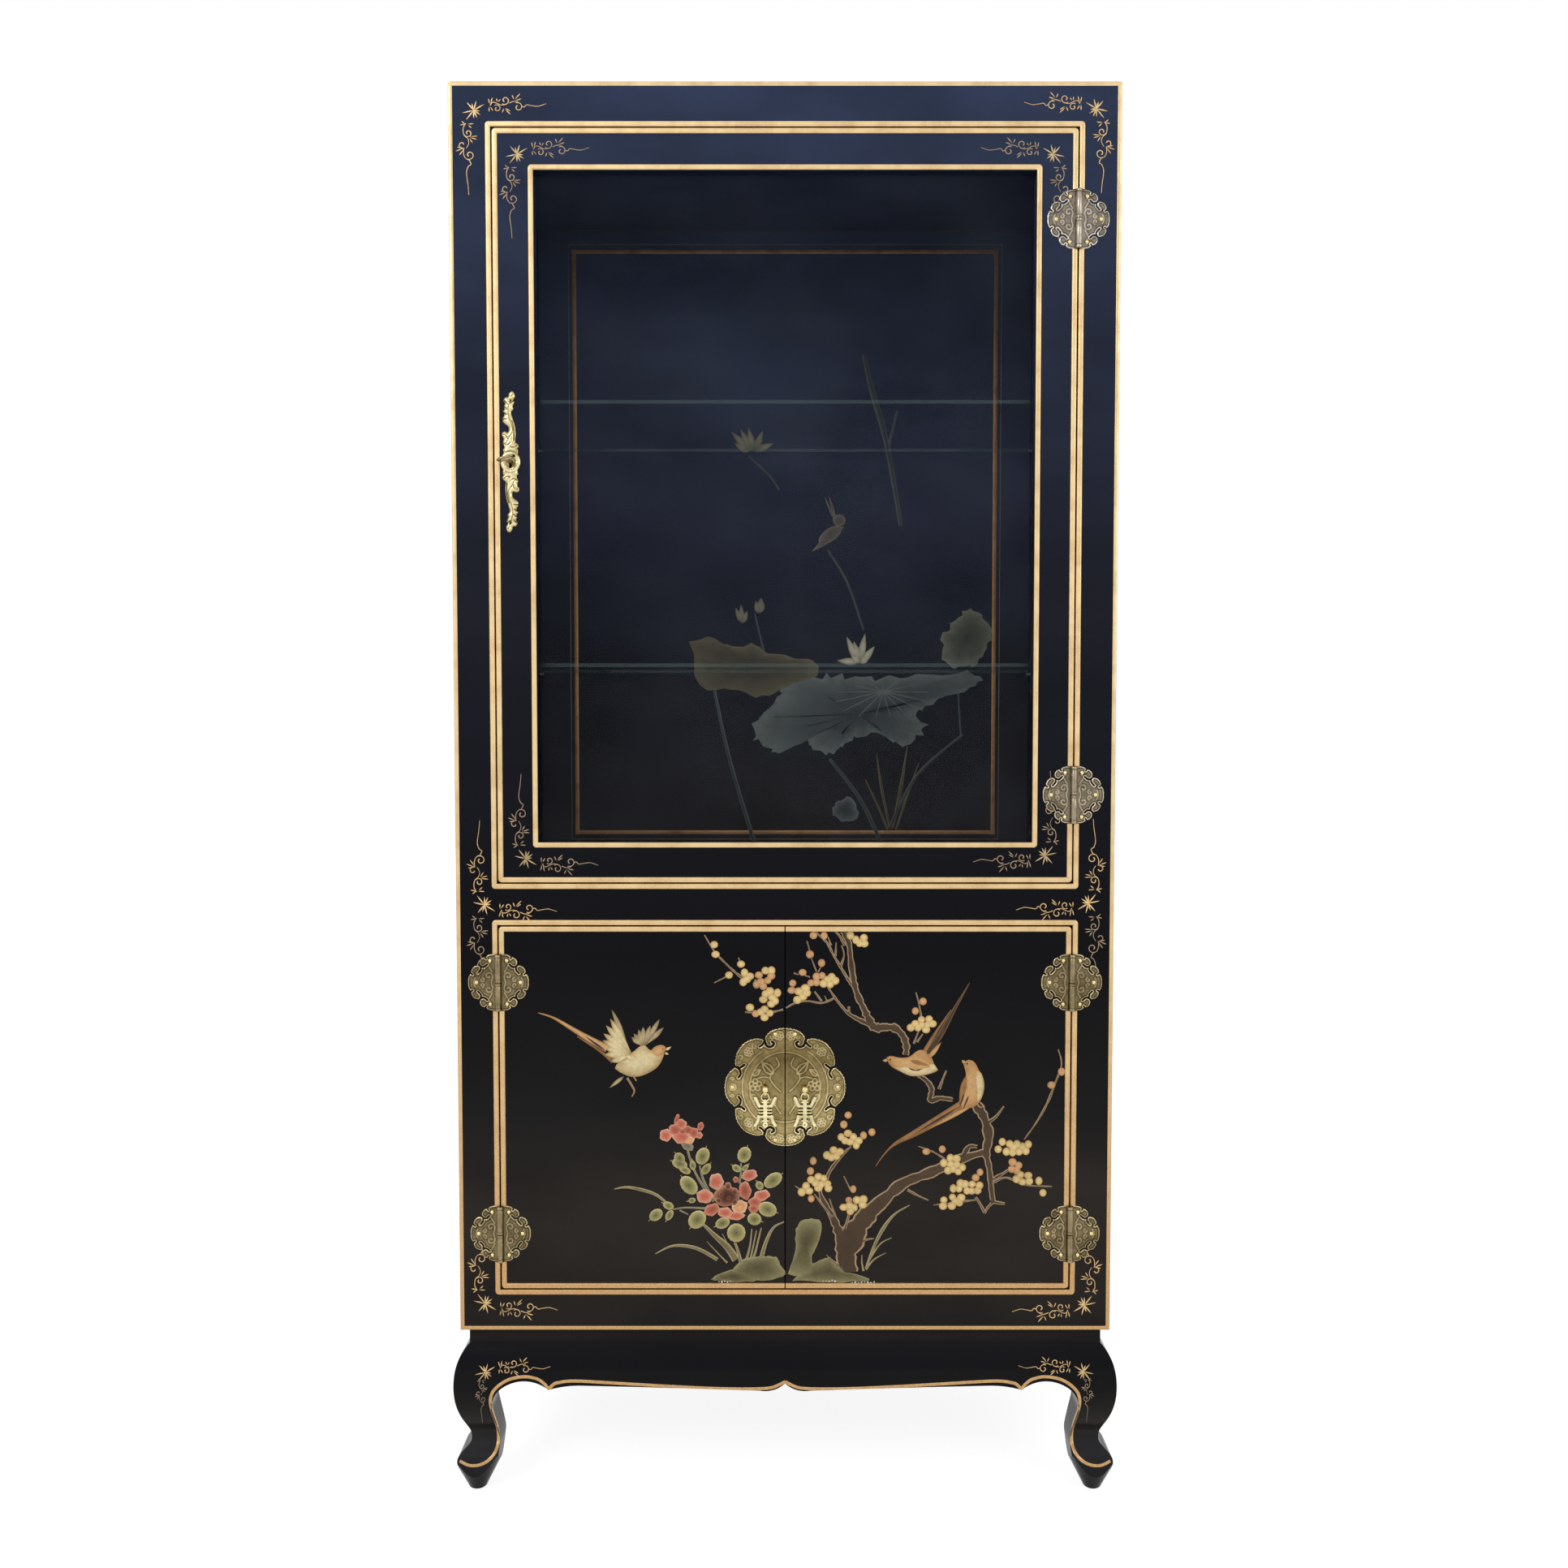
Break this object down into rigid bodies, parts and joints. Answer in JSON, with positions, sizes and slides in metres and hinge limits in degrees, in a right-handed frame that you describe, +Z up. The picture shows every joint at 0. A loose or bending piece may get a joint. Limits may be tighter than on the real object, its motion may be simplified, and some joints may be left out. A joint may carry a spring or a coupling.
{
  "type": "display cabinet",
  "caption": "Black lacquered display cabinet with a glazed door over painted cupboard doors, glass shelves, brass hinges and cabriole legs.",
  "frame": {"origin": "on the floor, under the middle of the overall box", "axes": "+Z up, -Y towards the viewer in front of the doors, +X to that viewer's right"},
  "size_m": [0.8974, 0.4517, 1.885],
  "materials": {
    "black_lacquer": "gloss black lacquer",
    "plain_wood": "stained hardwood",
    "gilt": "gilded wood, satin",
    "clear_glass": "clear",
    "antique_brass": "aged, engraved",
    "bright_brass": "polished",
    "steel": "satin"
  },
  "bodies": {
    "root": {"front_post_left": "black_lacquer", "front_post_right": "black_lacquer", "rear_posts": "black_lacquer", "top_rail": "black_lacquer", "mid_rail": "black_lacquer", "bottom_rail": "black_lacquer", "carcass_rails": "plain_wood", "top_panel": "black_lacquer", "display_ceiling": "black_lacquer", "display_floor": "black_lacquer", "cupboard_floor": "black_lacquer", "side_panels": "black_lacquer", "back_panel_upper": "black_lacquer", "back_panel_lower": "black_lacquer", "glass_shelf_upper": "clear_glass", "glass_shelf_lower": "clear_glass", "shelf_pins": "steel", "upper_frame_bead": "gilt", "lower_frame_bead": "gilt", "door_catches": "steel", "frame_hinge_leaves": "antique_brass", "hinge_pins": "antique_brass", "frame_hinge_studs": "antique_brass", "waist_frame": "black_lacquer", "apron_front": "black_lacquer", "apron_rear": "black_lacquer", "apron_sides": "black_lacquer", "leg_front_left": "black_lacquer", "leg_front_right": "black_lacquer", "leg_rear_left": "black_lacquer", "leg_rear_right": "black_lacquer"},
    "glass_door": {"glass_door_stile_lock": "black_lacquer", "glass_door_stile_hinge": "black_lacquer", "glass_door_rail_top": "black_lacquer", "glass_door_rail_bottom": "black_lacquer", "door_glass": "clear_glass", "glazing_stops": "black_lacquer", "glazing_bead": "gilt", "glass_door_bead": "gilt", "glass_door_hinge_leaves": "antique_brass", "glass_door_studs": "antique_brass", "escutcheon": "bright_brass", "lock_case": "steel"},
    "key": {"key": "antique_brass"},
    "lock_bolt": {"lock_bolt": "steel"},
    "left_door": {"left_door_panel": "black_lacquer", "left_door_bead": "gilt", "left_door_hinge_leaves": "antique_brass", "left_door_lock_plate": "antique_brass", "left_door_pull_post": "bright_brass", "left_door_studs": "antique_brass"},
    "left_pull": {"left_door_pull": "bright_brass"},
    "right_door": {"right_door_panel": "black_lacquer", "right_door_bead": "gilt", "right_door_hinge_leaves": "antique_brass", "right_door_lock_plate": "antique_brass", "right_door_pull_post": "bright_brass", "right_door_studs": "antique_brass"},
    "right_pull": {"right_door_pull": "bright_brass"}
  },
  "joints": [
    {"name": "glass_door_swing", "type": "hinge", "parent": "root", "child": "glass_door", "pos_m": [0.38425, -0.1924, 1.33], "axis": [0, 0, 1], "range_deg": [0, 170]},
    {"name": "left_door_swing", "type": "hinge", "parent": "root", "child": "left_door", "pos_m": [-0.38425, -0.1924, 0.53], "axis": [0, 0, -1], "range_deg": [0, 170]},
    {"name": "right_door_swing", "type": "hinge", "parent": "root", "child": "right_door", "pos_m": [0.38425, -0.1924, 0.53], "axis": [0, 0, 1], "range_deg": [0, 170]},
    {"name": "left_pull_swing", "type": "hinge", "parent": "left_door", "child": "left_pull", "pos_m": [-0.0266, -0.1925, 0.5515], "axis": [-1, 0, 0], "range_deg": [0, 80]},
    {"name": "right_pull_swing", "type": "hinge", "parent": "right_door", "child": "right_pull", "pos_m": [0.0266, -0.1925, 0.5515], "axis": [-1, 0, 0], "range_deg": [0, 80]},
    {"name": "key_turn", "type": "hinge", "parent": "glass_door", "child": "key", "pos_m": [-0.3623, -0.1878, 1.393], "axis": [0, -1, 0], "range_deg": [0, 180]},
    {"name": "bolt_slide", "type": "slide", "parent": "glass_door", "child": "lock_bolt", "axis": [-1, 0, 0], "range_m": [0, 0.009]}
  ],
  "couplings": [
    {"joint": "key_turn", "follows": "bolt_slide", "rad_per_m": 349}
  ]
}
